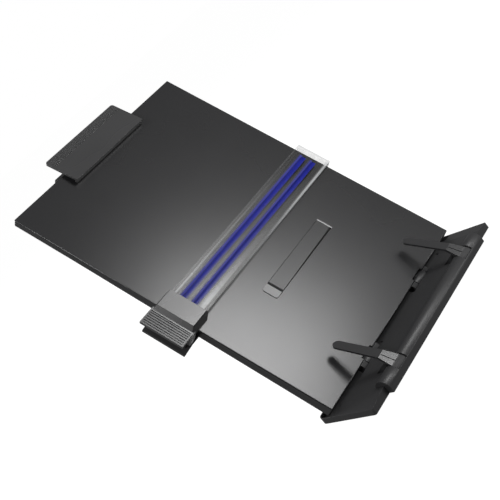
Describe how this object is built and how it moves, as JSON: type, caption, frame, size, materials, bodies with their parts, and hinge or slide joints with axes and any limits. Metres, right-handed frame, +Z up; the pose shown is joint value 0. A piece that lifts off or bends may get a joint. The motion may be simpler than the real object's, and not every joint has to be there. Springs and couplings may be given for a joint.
{
  "type": "copy holder",
  "caption": "Desktop copy holder: a leaning panel with an easel leg on a low base with page fingers, a top clip and a clear sliding line guide.",
  "frame": {"origin": "on the table, under the middle of the front rubber foot of the base", "axes": "+X to the reader's right, +Y away from the reader, +Z up"},
  "size_m": [0.2556, 0.2317, 0.2818],
  "materials": {
    "board_plastic": "semi gloss black",
    "base_plastic": "satin black",
    "finger_plastic": "polished black",
    "clip_plastic": "satin dark grey",
    "clear_plastic": "clear acrylic",
    "stripe_film": "deep blue film",
    "steel": "plain steel",
    "rubber": "matt"
  },
  "bodies": {
    "base": {"base_tray": "base_plastic", "base_plate": "base_plastic", "ballast_bar": "steel", "base_screws": "steel", "rubber_feet": "rubber", "ledge_cover": "base_plastic", "finger_pins": "steel", "finger_washers": "steel", "hinge_pins": "steel"},
    "board": {"board_panel": "board_plastic", "leg_pin": "steel", "clip_lower_jaw": "base_plastic", "clip_rivets": "steel", "clip_pin": "steel", "clip_spring": "steel"},
    "latch": {"release_latch": "board_plastic"},
    "leg": {"easel_leg": "base_plastic", "leg_foot": "rubber"},
    "finger_l": {"finger_left": "finger_plastic"},
    "finger_r": {"finger_right": "finger_plastic"},
    "guide_slider": {"guide_lower_lever": "base_plastic", "guide_pin": "steel", "guide_spring": "steel", "guide_lower_pad": "rubber"},
    "guide_arm": {"guide_upper_lever": "clip_plastic", "guide_upper_pad": "rubber", "guide_ruler": "clear_plastic", "guide_stripes": "stripe_film", "guide_rivets": "steel"},
    "page_clip": {"clip_upper_lever": "clip_plastic", "clip_jaw_pad": "rubber"}
  },
  "joints": [
    {"name": "board_tilt", "type": "hinge", "parent": "base", "child": "board", "pos_m": [0, 0.0294, 0.0071], "axis": [1, 0, 0], "range_deg": [-36, 0]},
    {"name": "leg_swing", "type": "hinge", "parent": "board", "child": "leg", "pos_m": [0, 0.10136, 0.11199], "axis": [1, 0, 0], "range_deg": [-49.5, 0]},
    {"name": "latch_press", "type": "hinge", "parent": "board", "child": "latch", "pos_m": [0.04595, 0.08112, 0.08807], "axis": [0, -0.5592, -0.829], "range_deg": [0, 0.7], "stiffness_Nm_per_rad": 1, "springref_deg": -2.86},
    {"name": "finger_left_swing", "type": "hinge", "parent": "base", "child": "finger_l", "pos_m": [-0.0673, -0.011, 0.0052], "axis": [1, 0, 0], "range_deg": [-8, 30]},
    {"name": "finger_right_swing", "type": "hinge", "parent": "base", "child": "finger_r", "pos_m": [0.0673, -0.011, 0.0052], "axis": [1, 0, 0], "range_deg": [-8, 30]},
    {"name": "guide_slide", "type": "slide", "parent": "board", "child": "guide_slider", "axis": [0, 0.5592, 0.829], "range_m": [-0.08, 0.125]},
    {"name": "guide_open", "type": "hinge", "parent": "guide_slider", "child": "guide_arm", "pos_m": [-0.1233, 0.10926, 0.12693], "axis": [0, -0.5592, -0.829], "range_deg": [0, 12], "stiffness_Nm_per_rad": 0.25, "springref_deg": -22.92, "deforming": ["guide_spring"]},
    {"name": "clip_open", "type": "hinge", "parent": "board", "child": "page_clip", "pos_m": [0, 0.20365, 0.26651], "axis": [-1, 0, 0], "range_deg": [0, 20], "stiffness_Nm_per_rad": 0.25, "springref_deg": -22.92, "deforming": ["clip_spring"]}
  ]
}
